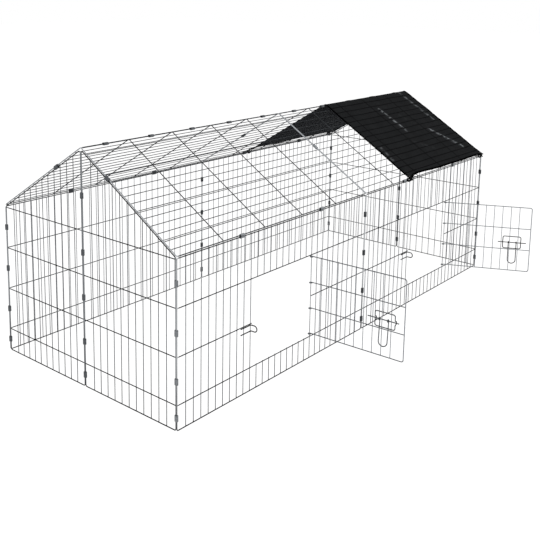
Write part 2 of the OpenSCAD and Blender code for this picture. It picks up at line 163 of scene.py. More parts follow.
def zinc_plated_wire(name, pale, dark, level, roughness, ends=None, rim="#ffffff"):
    """Electroplated zinc: a clouded soft grey, with painted shade on the level wires.

    Ends gives the axis along which a frame's end wires lie apart, their reach along it and the
    paler tone painted on those end wires as light. Rim is the tint of grazing reflections, which
    the painted shade of the level wires dims."""
    material, tree = new_material(name)
    place = add_node(tree, "ShaderNodeTexCoord").outputs["Object"]
    # Clouds in the coat, about 9 mm across
    cloud = add_node(tree, "ShaderNodeTexNoise", {
        "Vector": place, "Scale": 1 / 0.009, "Detail": 3.0, "Roughness": 0.6})
    spread = add_node(tree, "ShaderNodeMapRange", {
        "Value": cloud.outputs["Fac"], "From Min": 0.32, "From Max": 0.68})
    clean = add_node(tree, "ShaderNodeMix", {
        "Factor": spread.outputs[0], 6: linear(dark), 7: linear(pale)}, data_type="RGBA")
    # Painted shade on the tops and undersides of the level wires, darkening their colour; an
    # upright wire has none
    facing = add_node(tree, "ShaderNodeSeparateXYZ", {
        0: add_node(tree, "ShaderNodeTexCoord").outputs["Normal"]})
    slant = add_node(tree, "ShaderNodeMath", {0: facing.outputs[2]}, operation="ABSOLUTE")
    level_shade_mask = add_node(tree, "ShaderNodeMapRange", {
        "Value": slant.outputs[0], "From Min": 0.02, "From Max": 0.3})
    tone = add_node(tree, "ShaderNodeMix", {
        "Factor": level_shade_mask.outputs[0], 6: clean.outputs[2], 7: linear(level)}, data_type="RGBA")
    if ends:
        axis, reach, painted_end_light = ends
        spot = add_node(tree, "ShaderNodeSeparateXYZ", {0: place}).outputs
        # A frame spans the run's middle to its end, so both its end wires lie half the reach
        # from the point midway; the mask starts 5 mm short of them
        apart = add_node(tree, "ShaderNodeMath", {0: spot[axis]}, operation="ABSOLUTE")
        apart = add_node(tree, "ShaderNodeMath", {0: apart.outputs[0], 1: reach / 2},
                         operation="SUBTRACT")
        apart = add_node(tree, "ShaderNodeMath", {0: apart.outputs[0]}, operation="ABSOLUTE")
        at_end = add_node(tree, "ShaderNodeMapRange", {
            "Value": apart.outputs[0], "From Min": reach / 2 - 0.0055,
            "From Max": reach / 2 - 0.0045})
        # The frames' end wires are painted paler: a painted highlight
        tone = add_node(tree, "ShaderNodeMix", {
            "Factor": at_end.outputs[0], 6: tone.outputs[2], 7: linear(painted_end_light)}, data_type="RGBA")
        # Darker towards the ground, most at the ground itself
        ground_dark = add_node(tree, "ShaderNodeMapRange", {
            "Value": spot[2], "From Min": 0.0, "From Max": ground_dark_height,
            "To Min": 0.8, "To Max": 0.0})
        tone = add_node(tree, "ShaderNodeMix", {
            "Factor": ground_dark.outputs[0], 6: tone.outputs[2], 7: linear("#1a1b1d")},
            data_type="RGBA")
    # The level wires' grazing reflections are darkened with the same painted shade
    rim_and_level_shade = add_node(tree, "ShaderNodeMix", {
        "Factor": level_shade_mask.outputs[0], 6: linear(rim), 7: linear(level)}, data_type="RGBA")
    # Duller patches from handling, about 60 mm apart
    patch = add_node(tree, "ShaderNodeTexNoise", {
        "Vector": place, "Scale": 1 / 0.06, "Detail": 2.0})
    dull = add_node(tree, "ShaderNodeMapRange", {
        "Value": patch.outputs["Fac"], "From Min": 0.3, "From Max": 0.7,
        "To Min": roughness - 0.07, "To Max": roughness + 0.09})
    # Die marks and pores of the plated surface, 0.5 mm: as coarse as they need to be to show
    grit = add_node(tree, "ShaderNodeTexNoise", {
        "Vector": place, "Scale": 1 / 0.0005, "Detail": 2.0})
    relief = add_node(tree, "ShaderNodeBump", {
        "Height": grit.outputs["Fac"], "Strength": 0.18, "Distance": 0.0002})
    coat = add_node(tree, "ShaderNodeBsdfPrincipled", {
        "Base Color": tone.outputs[2], "Metallic": 1.0, "Roughness": dull.outputs[0],
        "Specular Tint": rim_and_level_shade.outputs[2], "Normal": relief.outputs[0]})
    add_node(tree, "ShaderNodeOutputMaterial", {"Surface": coat.outputs[0]})
    return material


def finish_nodes(material, *names):
    """Gives CAD pieces a material in place of their plain one."""
    for name in names:
        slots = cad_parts[name].data.materials
        slots.clear()
        slots.append(material)


# In each wire finish the third colour is painted shade on the level wires, and the last one,
# where given, is painted light on the end wires
panel_wire = zinc_plated_wire("zinc_plated_panel_wire", "#86888b", "#63666a", "#0e0f10", 0.36,
                              (0, end_x, "#b2b4b6"))
finish_nodes(panel_wire, "front_left_panel", "front_right_panel",
             "back_left_panel", "back_right_panel")
# The gables come from a coil with a thinner, darker coat
gable_wire = zinc_plated_wire("thin_zinc_gable_wire", "#66696c", "#45484b", "#0e0f10", 0.36,
                              (1, side_y, "#7e8184"))
finish_nodes(gable_wire, "left_gable_front_panel", "left_gable_back_panel",
             "right_gable_front_panel", "right_gable_back_panel")


# ---- Roof panels -------------------------------------------------------------------------------
# Four more welded panels of the same wire, with the rods running along the ridge under the
# rafters. They take the weather first, so their zinc has greyed a little more.
roof_wire = zinc_plated_wire("weathered_zinc_roof_wire", "#76787b", "#55585b", "#303234", 0.42,
                             (0, end_x, "#9c9fa2"))
finish_nodes(roof_wire, "roof_front_left_panel", "roof_front_right_panel",
             "roof_back_left_panel", "roof_back_right_panel")


# ---- Doors -------------------------------------------------------------------------------------
# Two doors of the same wire, welded in the same way. Their level wires end in eyes curled round
# a rod of the wall. Hands and the turning eyes rub the coat bright.
door_wire = zinc_plated_wire("zinc_plated_door_wire", "#92959a", "#72757a", "#66696c", 0.33)
finish_nodes(door_wire, "left_door", "right_door")


# ---- Latches -----------------------------------------------------------------------------------
# Guide, bolt, handle and keeper are bent from 3.2 mm wire, plated after bending. The guide is
# welded to its door and the keeper to the wall, and the bolt slides in the guide's two bows.
left_latch = zinc_plated_wire("zinc_plated_latch_wire", "#7a7d80", "#5c5f62", "#4a4d50", 0.3)
finish_nodes(left_latch, "left_latch_guide", "left_bolt", "left_bolt_handle")
# The right latch and the keepers have their zinc painted dark, colour and rim tint alike: painted
# shade and painted dark reflections
shaded_latch_wire = zinc_plated_wire("painted_shade_zinc_latch_wire", "#303234", "#1c1d1f", "#161718", 0.34,
                               rim="#303234")
finish_nodes(shaded_latch_wire, "right_latch_guide", "right_bolt", "right_bolt_handle",
             "left_keeper", "right_keeper")


# ---- Clips -------------------------------------------------------------------------------------
# Sleeves 17 mm long, rolled from galvanised strip round the two frame wires they hold. The
# strip's ends meet in a seam on one flat side, and its cut rims are broken.
clip_length = 0.017
# The wall takes in the slack of the real, thinner strip
clip_wall = 0.0024
clip_outside = 0.0040
clip_seam = 0.0006
# How far apart a clip's two wires lie: side by side, and one over the other at the roof's edges
post_span, lift_span = 0.0035, 0.0052


def pick(piece, kind, wanted):
    """In edit mode, selects the faces or edges that pass a test and nothing else."""
    bpy.ops.mesh.select_mode(type=kind)
    bpy.ops.mesh.select_all(action="DESELECT")
    mesh = bmesh.from_edit_mesh(piece.data)
    for item in mesh.edges if kind == "EDGE" else mesh.faces:
        item.select_set(wanted(item))
    bmesh.update_edit_mesh(piece.data)


def rolled_clip(span):
    """One clip round the origin: its wires run along Z, span apart along X, its seam at -Y."""
    bpy.ops.object.select_all(action="DESELECT")
    bpy.ops.mesh.primitive_cube_add(size=1)
    clip = bpy.context.object
    clip.data.transform(Matrix.Diagonal(
        (span + 2 * clip_outside, 2 * clip_outside, clip_length, 1)))
    bpy.ops.object.mode_set(mode="EDIT")
    pick(clip, "FACE", lambda face: abs(face.normal.z) > 0.9)
    bpy.ops.mesh.delete(type="FACE")
    pick(clip, "EDGE",
         lambda edge: abs(edge.verts[0].co.z - edge.verts[1].co.z) > clip_length / 2)
    bpy.ops.mesh.bevel(offset=clip_outside * 0.995, segments=5, profile=0.5, affect="EDGES")
    bpy.ops.mesh.select_all(action="SELECT")
    bpy.ops.mesh.remove_doubles(threshold=0.00005)
    for lip in (-clip_seam / 2, clip_seam / 2):
        bpy.ops.mesh.select_all(action="SELECT")
        bpy.ops.mesh.bisect(plane_co=(lip, 0, 0), plane_no=(1, 0, 0))
    pick(clip, "FACE", lambda face: abs(face.calc_center_median().x) < clip_seam / 2
         and face.calc_center_median().y < 0)
    bpy.ops.mesh.delete(type="FACE")
    bpy.ops.mesh.select_all(action="SELECT")
    bpy.ops.mesh.normals_make_consistent(inside=False)
    bpy.ops.object.mode_set(mode="OBJECT")
    wall = clip.modifiers.new("strip", "SOLIDIFY")
    wall.thickness = clip_wall
    wall.offset = -1
    rims = clip.modifiers.new("rims", "BEVEL")
    rims.width = 0.0003
    rims.segments = 2
    rims.limit_method = "ANGLE"
    rims.angle_limit = math.radians(50)
    bpy.ops.object.modifier_apply(modifier="strip")
    bpy.ops.object.modifier_apply(modifier="rims")
    bpy.ops.object.shade_smooth_by_angle(angle=math.radians(35))
    return clip


def galvanised_strip(name, dark, pale):
    """Hot dip galvanised strip: darker and duller than the wire, with faint zinc crystals."""
    material, tree = new_material(name)
    place = add_node(tree, "ShaderNodeTexCoord").outputs["Object"]
    # Zinc crystals, 3 mm across
    crystal = add_node(tree, "ShaderNodeTexVoronoi", {"Vector": place, "Scale": 1 / 0.003})
    grey = add_node(tree, "ShaderNodeRGBToBW", {"Color": crystal.outputs["Color"]})
    tone = add_node(tree, "ShaderNodeMix", {
        "Factor": grey.outputs[0], 6: linear(dark), 7: linear(pale)}, data_type="RGBA")
    dull = add_node(tree, "ShaderNodeMapRange", {
        "Value": grey.outputs[0], "To Min": 0.38, "To Max": 0.52})
    # Marks of the rolls, 0.4 mm
    grit = add_node(tree, "ShaderNodeTexNoise", {
        "Vector": place, "Scale": 1 / 0.0004, "Detail": 2.0})
    relief = add_node(tree, "ShaderNodeBump", {
        "Height": grit.outputs["Fac"], "Strength": 0.2, "Distance": 0.0001})
    strip = add_node(tree, "ShaderNodeBsdfPrincipled", {
        "Base Color": tone.outputs[2], "Metallic": 1.0, "Roughness": dull.outputs[0],
        "Normal": relief.outputs[0]})
    add_node(tree, "ShaderNodeOutputMaterial", {"Surface": strip.outputs[0]})
    return material


def placed(*steps):
    """A placing made of moves and of turns in degrees about X, Y or Z, the outermost first."""
    result = Matrix.Identity(4)
    for step in steps:
        if isinstance(step[0], str):
            result = result @ Matrix.Rotation(math.radians(step[1]), 4, step[0])
        else:
            result = result @ Matrix.Translation(step)
    return result


# Middle lines of the seam's, eaves', roof edges' and ridge's wires
seam_x, eave_z, roof_z, ridge_z = 0.00175, 0.4735, 0.4787, 0.7085
roof_slope = math.atan2(ridge_z - roof_z, side_y - seam_x)
roof_length = math.hypot(ridge_z - roof_z, side_y - seam_x)
rafter_pitch = (end_x - seam_x) / 5
# Where the clips lie: up the posts, up the gable, along an eave and up the roof's slope
post_clip_z = [0.03675, 0.138917, 0.27275, 0.406583]
gable_clip_z = 0.572654
eave_clip_x = (0.256625, 0.640125)
rafter_clip_s, roof_seam_clip_s = 0.307021, 0.248021
to_back = Matrix.Diagonal((1, -1, 1, 1))
clip_rows = {}
for end, end_name in ((-1, "left"), (1, "right")):
    for side, side_name in ((-1, "front"), (1, "back")):
        clip_rows[f"{side_name}_{end_name}_corner_clips"] = (post_span, [
            placed((end * end_x, side * (side_y - seam_x), z), ("Z", -90 * end))
            for z in post_clip_z])
    clip_rows[f"{end_name}_gable_clips"] = (post_span, [
        placed((end * end_x, 0, z), ("Z", -90 * end)) for z in post_clip_z + [gable_clip_z]])
    rafter = placed((end * end_x, -side_y, roof_z), ("X", math.degrees(roof_slope)),
                    (0, rafter_clip_s, -lift_span / 2), ("X", 90), ("Z", 90))
    clip_rows[f"{end_name}_rafter_clips"] = (lift_span, [rafter, to_back @ rafter])
eave_row = [placed((x0 + x, -side_y, eave_z + lift_span / 2), ("Y", 90))
            for x0 in (-end_x, seam_x) for x in eave_clip_x]
clip_rows["front_eave_clips"] = (lift_span, eave_row)
clip_rows["back_eave_clips"] = (lift_span, [to_back @ place for place in eave_row])
clip_rows["ridge_clips"] = (post_span, [
    placed((x0 + (i + 0.5) * rafter_pitch, 0, ridge_z), ("X", 90), ("Y", 90), ("Z", 180))
    for x0 in (-end_x, seam_x) for i in range(5)])
clip_rows["front_seam_clips"] = (post_span, [
    placed((0, -side_y, z), ("Z", 180)) for z in post_clip_z])
clip_rows["back_seam_clips"] = (post_span, [placed((0, side_y, z)) for z in post_clip_z])
roof_seam = placed((0, -side_y, roof_z), ("X", math.degrees(roof_slope)),
                   (0, roof_seam_clip_s, 0), ("X", 90))
clip_rows["front_roof_seam_clip"] = (post_span, [roof_seam])
clip_rows["back_roof_seam_clip"] = (post_span, [to_back @ roof_seam])

clip_strip = galvanised_strip("galvanised_strip_steel", "#303234", "#4c4f52")
mid_tone_strip = galvanised_strip("mid_tone_galvanised_strip_steel", "#46484b", "#606366")
pale_strip = galvanised_strip("pale_galvanised_strip_steel", "#6a6d70", "#8a8d90")
# Some rows of sleeves are given a paler tone than the rest, and some a tone between
row_strips = {
    "front_left_corner_clips": pale_strip, "front_eave_clips": pale_strip,
    "front_roof_seam_clip": pale_strip, "ridge_clips": mid_tone_strip,
    "left_rafter_clips": mid_tone_strip, "right_rafter_clips": mid_tone_strip,
    "left_gable_clips": mid_tone_strip, "back_left_corner_clips": mid_tone_strip}
clip_shapes = {span: rolled_clip(span) for span in (post_span, lift_span)}
for row, (span, placings) in clip_rows.items():
    together = bmesh.new()
    for place in placings:
        sleeve = clip_shapes[span].data.copy()
        sleeve.transform(place)
        if place.determinant() < 0:
            sleeve.flip_normals()
        together.from_mesh(sleeve)
        bpy.data.meshes.remove(sleeve)
    sleeves = bpy.data.meshes.new("rolled_" + row)
    together.to_mesh(sleeves)
    together.free()
    piece = bpy.data.objects.new("rolled_" + row, sleeves)
    bpy.context.scene.collection.objects.link(piece)
    piece.data.materials.append(row_strips.get(row, clip_strip))
    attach(piece, "run")
    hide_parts(row)
for shape in clip_shapes.values():
    bpy.data.objects.remove(shape)


# ---- Sun cover ---------------------------------------------------------------------------------
# One piece of black woven polyethylene tape, 616 mm along the ridge and 875 mm over it. It lies
# on the right end of the roof, tied down at its corners, and the wires under it are painted on it
# as dark lines of shadow.
cover_start, cover_width = 0.290, 0.616
cloth_thick = 0.0007
# How high the cloth lies over the roof's middle plane: mostly, at the least and over the ridge
cover_lift, least_lift, ridge_lift = 0.0048, 0.0027, 0.0038
# The roof's rods under it: how far the first lies from the eave or the ridge, and their spacing
rod_start, rod_pitch = 0.02677, 0.0295
across_steps, along_steps = 212, 150


def smooth_step(low, high, value):
    t = min(1, max(0, (value - low) / (high - low)))
    return t * t * (3 - 2 * t)


def bell(value, middle, width):
    return math.exp(-((value - middle) / width) ** 2)


def edge_up(v, front):
    """How far the lower edge is drawn up from the eave wire, v of the way along it."""
    # As (v, millimetres)
    marks = [(0, 1), (0.1, 8), (0.25, 13), (0.5, 15), (0.75, 12), (0.9, 8), (1, 1)]
    if front:
        marks = [(0, -5), (0.025, -3), (0.07, 5), (0.13, 8), (0.2, 7), (0.3, 4), (0.4, 0.5),
                 (0.8, 1), (0.96, 0), (1, -4)]
    for (v0, h0), (v1, h1) in zip(marks, marks[1:]):
        if v <= v1:
            return (h0 + (h1 - h0) * smooth_step(v0, v1, v)) / 1000
    return marks[-1][1] / 1000


def up_the_roof(u, v):
    """How far up the slope from the eave a point of the cloth lies."""
    return roof_length - abs(u) * (roof_length - edge_up(v, u > 0))


# Creases on the front slope, which lift the cloth and carry a painted highlight: (v, distance up
# the roof) of their two ends, and how sharp they are
creases = [((0.468, 0.362), (0.488, 0.218), 1.0), ((0.742, 0.198), (0.889, 0.065), 1.0),
           ((0.90, 0.435), (0.925, 0.235), 0.6), ((0.052, 0.170), (0.036, 0.095), 0.45),
           ((0.42, 0.16), (0.56, 0.10), 0.07), ((0.60, 0.31), (0.66, 0.24), 0.05)]
crease_width = 0.0065


def crease_at(x, s):
    """How near a point of the front slope lies to a crease, from 0 to 1."""
    nearest = 0
    for (v0, s0), (v1, s1), depth in creases:
        a, b = Vector((v0 * cover_width, s0)), Vector((v1 * cover_width, s1))
        p = Vector((x - cover_start, s))
        t = (p - a).dot(b - a) / (b - a).length_squared
        gap = (p - a - min(1, max(0, t)) * (b - a)).length
        fade = smooth_step(-0.12, 0.1, t) * smooth_step(1.12, 0.9, t)
        nearest = max(nearest, depth * fade * bell(gap, 0, crease_width))
    return nearest


def sag(x, s):
    """The cloth dips between the rafters, and a little between the rods, in metres."""
    rod_phase = (s - rod_start) / rod_pitch
    rafter_phase = (x - seam_x) / rafter_pitch
    margin = 0.03
    inside = smooth_step(0, margin, s) * smooth_step(roof_length, roof_length - margin, s)
    return inside * (0.0011 * math.sin(math.pi * rafter_phase) ** 2
                     + 0.0006 * math.sin(math.pi * rod_phase) ** 2)


def pull(x, s):
    """Small wrinkles that run up the roof from the tied corners."""
    lift = 0
    for corner_x, turn in ((cover_start, 1), (cover_start + cover_width, -1)):
        out = (x - corner_x) * turn
        reach = math.hypot(out, s)
        if reach > 0.002:
            angle = math.atan2(s, max(out, 0))
            lift += 0.0016 * math.sin(7 * angle + 0.6) * bell(reach, 0.05, 0.045)
    return lift


# Where the cloth rises over a clip: its place along and up the roof, then how high and how long
clip_rises = [(end_x, 0.307, 0.0016, 0.022), (seam_x + eave_clip_x[1], 0, 0.0012, 0.02)]


def cover_point(u, v):
    """A point of the cloth: u from -1 at the back edge to 1 at the front, v along the ridge."""
    x = cover_start + v * cover_width
    s = up_the_roof(u, v)
    # A slow ripple, then the creases, then a lower edge that stands off the eave in three waves
    lift = cover_lift - sag(x, s) + pull(x, s) + 0.0009 * math.sin(9 * v + 4 * u) * abs(u)
    if u > 0:
        lift += 0.0022 * crease_at(x, s)
    lift += 0.0018 * abs(u) ** 8 * math.sin(3 * math.pi * v) ** 2
    for clip_x, clip_s, rise, spread in clip_rises:
        lift += rise * bell(x, clip_x, 0.014) * bell(s, clip_s, spread)
    lift = max(lift, least_lift)
    flat_y = -side_y + s * math.cos(roof_slope) - lift * math.sin(roof_slope)
    flat_z = roof_z + s * math.sin(roof_slope) + lift * math.cos(roof_slope)
    # It bends round the ridge, where it rises over the ridge clips
    bend = bell(roof_length - s, 0, 0.012)
    over_clip = max(bell(x, seam_x + (i + 0.5) * rafter_pitch, 0.016) for i in range(5))
    ridge_top = ridge_z + ridge_lift + 0.0014 * over_clip
    y = flat_y * (1 - bend)
    z = flat_z * (1 - bend) + ridge_top * bend
    return Vector((x, y if u > 0 else -y, z))


bpy.ops.object.select_all(action="DESELECT")
bpy.ops.mesh.primitive_grid_add(x_subdivisions=along_steps, y_subdivisions=across_steps, size=1)
cover = bpy.context.object
cover.name = "sun_cover_cloth"
places = [(-2 * vert.co.y, vert.co.x + 0.5) for vert in cover.data.vertices]
crease_glint = cover.data.attributes.new("crease", "FLOAT", "POINT")
for vert, (u, v) in zip(cover.data.vertices, places):
    vert.co = cover_point(u, v)
    # Nearness to a crease on the front slope, which sets where the highlight is painted
    crease_glint.data[vert.index].value = crease_at(vert.co.x, up_the_roof(u, v)) if u > 0 else 0
# The weave follows the cloth: its map is in metres, along the ridge and away from it
weave_map = cover.data.uv_layers[0].data
for loop in cover.data.loops:
    u, v = places[loop.vertex_index]
    from_ridge = math.copysign(roof_length - up_the_roof(u, v), u)
    weave_map[loop.index].uv = (cover_start + v * cover_width, from_ridge)


def woven_polyethylene(name, face, dust_dark_and_wire_shadow, painted_glint, roughness, specular):
    """Black woven tape: flat ribbons over and under, a dull plastic face, painted highlights on
    the creases and painted shadows of the wires under it.
    """
    material, tree = new_material(name)
    flat = add_node(tree, "ShaderNodeUVMap").outputs[0]
    along, from_ridge = add_node(tree, "ShaderNodeSeparateXYZ", {0: flat}).outputs[:2]

    def near_wire(distance, first, pitch, half):
        """1 over a row of wires, falling to 0 within 0.6 mm of their sides."""
        past = add_node(tree, "ShaderNodeMath", {0: distance, 1: first}, operation="SUBTRACT")
        off = add_node(tree, "ShaderNodeMath", {0: past.outputs[0], 1: pitch / 2},
                       operation="PINGPONG")
        return add_node(tree, "ShaderNodeMapRange", {
            "Value": off.outputs[0], "From Min": half, "From Max": half + 0.0006,
            "To Min": 1.0, "To Max": 0.0}).outputs[0]

    # Painted shadows of the wires under it, as dark lines
    down = add_node(tree, "ShaderNodeMath", {0: from_ridge}, operation="ABSOLUTE").outputs[0]
    wires = add_node(tree, "ShaderNodeMath", {
        0: near_wire(down, rod_start, rod_pitch, 0.0017),
        1: near_wire(along, seam_x, rafter_pitch, 0.0022)}, operation="MAXIMUM")
    # The tapes, 2.5 mm wide, one over the next
    tapes = []
    for way in (along, from_ridge):
        angle = add_node(tree, "ShaderNodeMath", {0: way, 1: 2 * math.pi / 0.0025},
                         operation="MULTIPLY")
        tapes.append(add_node(tree, "ShaderNodeMath", {0: angle.outputs[0]}, operation="SINE"))
    weave = add_node(tree, "ShaderNodeMath", {0: tapes[0].outputs[0], 1: tapes[1].outputs[0]},
                     operation="MULTIPLY")
    # Clouds of dust, about 50 mm across
    cloud = add_node(tree, "ShaderNodeTexNoise", {
        "Vector": flat, "Scale": 1 / 0.05, "Detail": 3.0})
    # The weave also darkens the colour in the hollows between the tapes: painted shade. The dust
    # clouds vary it as well
    dust_and_weave_shade = add_node(tree, "ShaderNodeMath", {0: weave.outputs[0], 1: 0.1, 2: 0.35},
                      operation="MULTIPLY_ADD")
    dust_and_weave_shade = add_node(tree, "ShaderNodeMath", {
        0: cloud.outputs["Fac"], 1: 0.6, 2: dust_and_weave_shade.outputs[0]}, operation="MULTIPLY_ADD")
    cloth = add_node(tree, "ShaderNodeMix", {
        "Factor": dust_and_weave_shade.outputs[0], 6: linear(dust_dark_and_wire_shadow), 7: linear(face)}, data_type="RGBA")
    wire_shadow = add_node(tree, "ShaderNodeMath", {0: wires.outputs[0], 1: 0.95},
                     operation="MULTIPLY")
    with_wire_shadow = add_node(tree, "ShaderNodeMix", {
        "Factor": wire_shadow.outputs[0], 6: cloth.outputs[2], 7: linear(dust_dark_and_wire_shadow)}, data_type="RGBA")
    # Painted highlights along the creases, for the glint on their crests, in smudges of 12 mm and
    # flecks of 3 mm, mostly between the rods
    smudge = add_node(tree, "ShaderNodeTexNoise", {
        "Vector": flat, "Scale": 1 / 0.012, "Detail": 2.0})
    fleck = add_node(tree, "ShaderNodeTexNoise", {
        "Vector": flat, "Scale": 1 / 0.003, "Detail": 2.0})
    glint_dashes = add_node(tree, "ShaderNodeMath", {
        0: fleck.outputs["Fac"], 1: 0.4, 2: smudge.outputs["Fac"]}, operation="MULTIPLY_ADD")
    glint_dashes = add_node(tree, "ShaderNodeMath", {
        0: near_wire(down, rod_start + rod_pitch / 2, rod_pitch, 0.0085), 1: 0.16,
        2: glint_dashes.outputs[0]}, operation="MULTIPLY_ADD")
    glint_dashes = add_node(tree, "ShaderNodeMapRange", {
        "Value": glint_dashes.outputs[0], "From Min": 0.72, "From Max": 0.98})
    glint_mask_node = add_node(tree, "ShaderNodeAttribute", attribute_name="crease")
    pale = add_node(tree, "ShaderNodeMath", {0: glint_mask_node.outputs["Fac"], 1: glint_dashes.outputs[0]},
                    operation="MULTIPLY")
    tone = add_node(tree, "ShaderNodeMix", {
        "Factor": pale.outputs[0], 6: with_wire_shadow.outputs[2], 7: linear(painted_glint)}, data_type="RGBA")
    relief = add_node(tree, "ShaderNodeBump", {
        "Height": weave.outputs[0], "Strength": 0.35, "Distance": 0.0002})
    dull = add_node(tree, "ShaderNodeMath", {
        0: cloud.outputs["Fac"], 1: 0.2, 2: roughness - 0.1}, operation="MULTIPLY_ADD")
    tape = add_node(tree, "ShaderNodeBsdfPrincipled", {
        "Base Color": tone.outputs[2], "Roughness": dull.outputs[0],
        "Specular IOR Level": specular, "Normal": relief.outputs[0]})
    add_node(tree, "ShaderNodeOutputMaterial", {"Surface": tape.outputs[0]})
    return material


# The second colour is dark dust and painted wire shadow, the third a painted highlight on the
# creases
cover.data.materials.append(woven_polyethylene(
    "woven_polyethylene_black", "#272829", "#080809", "#8e9194", 0.62, 0.003))
# The underside is painted paler than the top: painted light, for the light that comes through the
# cloth
cover.data.materials.append(woven_polyethylene(
    "woven_polyethylene_underside", "#38393c", "#2c2d30", "#38393c", 0.7, 0.01))


# ---- Hems of the cover -------------------------------------------------------------------------
# The cloth's four edges are folded under twice, 8 mm wide, and lock stitched with black thread.
# Where the cloth is threefold it blocks the light, so the hems look blacker than the rest.
hem_width, hem_thick = 0.0085, 0.0019
hem = cover.copy()
hem.data = cover.data.copy()
hem.name = "sun_cover_hem"
bpy.context.scene.collection.objects.link(hem)
trimmed = bmesh.new()
trimmed.from_mesh(hem.data)


def from_edge(face):
    """How far a face of the cloth lies from the cloth's nearest edge."""
    u, v = (sum(places[vert.index][i] for vert in face.verts) / 4 for i in (0, 1))
    return min(v * cover_width, (1 - v) * cover_width, (1 - abs(u)) * roof_length)


bmesh.ops.delete(trimmed, geom=[face for face in trimmed.faces if from_edge(face) > hem_width],
                 context="FACES")
trimmed.to_mesh(hem.data)
trimmed.free()


def take_up(piece):
    """Makes a piece the only one selected, and the active one."""
    bpy.ops.object.select_all(action="DESELECT")
    bpy.context.view_layer.objects.active = piece
    piece.select_set(True)


# Each gets its thickness, the cover with its second material on the underside
for piece, thick, underside in ((cover, cloth_thick, 1), (hem, hem_thick, 0)):
    take_up(piece)
    bpy.ops.object.mode_set(mode="EDIT")
    bpy.ops.mesh.select_all(action="SELECT")
    bpy.ops.mesh.normals_make_consistent(inside=False)
    bpy.ops.object.mode_set(mode="OBJECT")
    if sum(polygon.normal.z for polygon in piece.data.polygons) < 0:
        piece.data.flip_normals()
    wall = piece.modifiers.new("thickness", "SOLIDIFY")
    wall.thickness = thick
    wall.offset = 0
    wall.material_offset = underside
    bpy.ops.object.modifier_apply(modifier="thickness")
    bpy.ops.object.shade_smooth_by_angle(angle=math.radians(40))
hem.data.materials.clear()
hem.data.materials.append(woven_polyethylene(
    "woven_polyethylene_hem", "#070708", "#030303", "#3a3c3f", 0.6, 0.0))

# Stitches 3 mm long and 4.5 mm apart, 6 mm in from the edge
stitch_length, stitch_width, stitch_height = 0.003, 0.0006, 0.0005
stitch_step, stitch_in = 0.0045, 0.006
bpy.ops.object.select_all(action="DESELECT")
bpy.ops.mesh.primitive_cube_add(size=1)
stitch = bpy.context.object
stitch.data.transform(Matrix.Diagonal((stitch_length, stitch_width, stitch_height, 1)))
bpy.ops.object.mode_set(mode="EDIT")
pick(stitch, "EDGE", lambda edge: edge.verts[0].co.z > 0
     and abs(edge.verts[0].co.x - edge.verts[1].co.x) > stitch_length / 2)
bpy.ops.mesh.bevel(offset=0.0002, segments=2, affect="EDGES")
bpy.ops.object.mode_set(mode="OBJECT")
# Where each stitch lies, and a point a little further along its row
look_ahead = 0.004
rows = []
for k in range(int(2 * roof_length / stitch_step)):
    u = -1 + (k + 0.5) * stitch_step / roof_length
    if abs(u) < 0.985:
        for v in (stitch_in / cover_width, 1 - stitch_in / cover_width):
            rows.append((cover_point(u, v), cover_point(u + look_ahead, v)))
for k in range(int(cover_width / stitch_step)):
    v = (k + 0.5) * stitch_step / cover_width
    if 0.02 < v < 0.98:
        for u in (-1 + stitch_in / roof_length, 1 - stitch_in / roof_length):
            rows.append((cover_point(u, v), cover_point(u, v + look_ahead)))
# The cloth turns over the ridge within 20 mm of it
ridge_bend = 0.02
sewing = bmesh.new()
for start, ahead in rows:
    run = (ahead - start).normalized()
    outwards = math.copysign(math.sin(roof_slope), start.y)
    facing = Vector((0, outwards, math.cos(roof_slope)))
    if abs(start.y) < ridge_bend:
        facing = Vector((0, start.y / ridge_bend * math.sin(roof_slope), 1)).normalized()
    side = facing.cross(run).normalized()
    up = run.cross(side)
    copy = stitch.data.copy()
    copy.transform(set_out(start + up * (hem_thick / 2 + 0.0001), run, side, up))
    sewing.from_mesh(copy)
    bpy.data.meshes.remove(copy)
bpy.data.objects.remove(stitch)
stitches = bpy.data.meshes.new("hem_stitches")
sewing.to_mesh(stitches)
sewing.free()
thread = bpy.data.objects.new("hem_stitches", stitches)
bpy.context.scene.collection.objects.link(thread)


def spun_thread(name, pale, dark):
    """Two-ply polyester thread: black, its silky, twisted sheen painted in as paler colour on the
    raised plies.
    """
    material, tree = new_material(name)
    place = add_node(tree, "ShaderNodeTexCoord").outputs["Object"]
    # The twist of the plies, 0.8 mm: coarser than the real 0.4 mm, to show
    twist_and_painted_sheen = add_node(tree, "ShaderNodeTexNoise", {
        "Vector": place, "Scale": 1 / 0.0008, "Detail": 1.0})
    # Paler where the plies rise: painted sheen
    tone = add_node(tree, "ShaderNodeMix", {
        "Factor": twist_and_painted_sheen.outputs["Fac"], 6: linear(dark), 7: linear(pale)}, data_type="RGBA")
    relief = add_node(tree, "ShaderNodeBump", {
        "Height": twist_and_painted_sheen.outputs["Fac"], "Strength": 0.4, "Distance": 0.0002})
    ply = add_node(tree, "ShaderNodeBsdfPrincipled", {
        "Base Color": tone.outputs[2], "Roughness": 0.6, "Specular IOR Level": 0.02,
        "Normal": relief.outputs[0]})
    add_node(tree, "ShaderNodeOutputMaterial", {"Surface": ply.outputs[0]})
    return material


thread.data.materials.append(spun_thread("black_polyester_thread", "#101011", "#060606"))
for piece in (cover, hem, thread):
    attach(piece, "run")
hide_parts("sun_cover")


# ---- Eyelets -----------------------------------------------------------------------------------
# A nickel plated brass eyelet in each corner of the cover, 11 mm across with a 5 mm hole, pressed
# through the folded hem and rolled over on its washer. The nickel has tarnished out of doors.
eyelet_outside, eyelet_hole, eyelet_flatness = 0.0055, 0.0027, 0.0012 / 0.0014
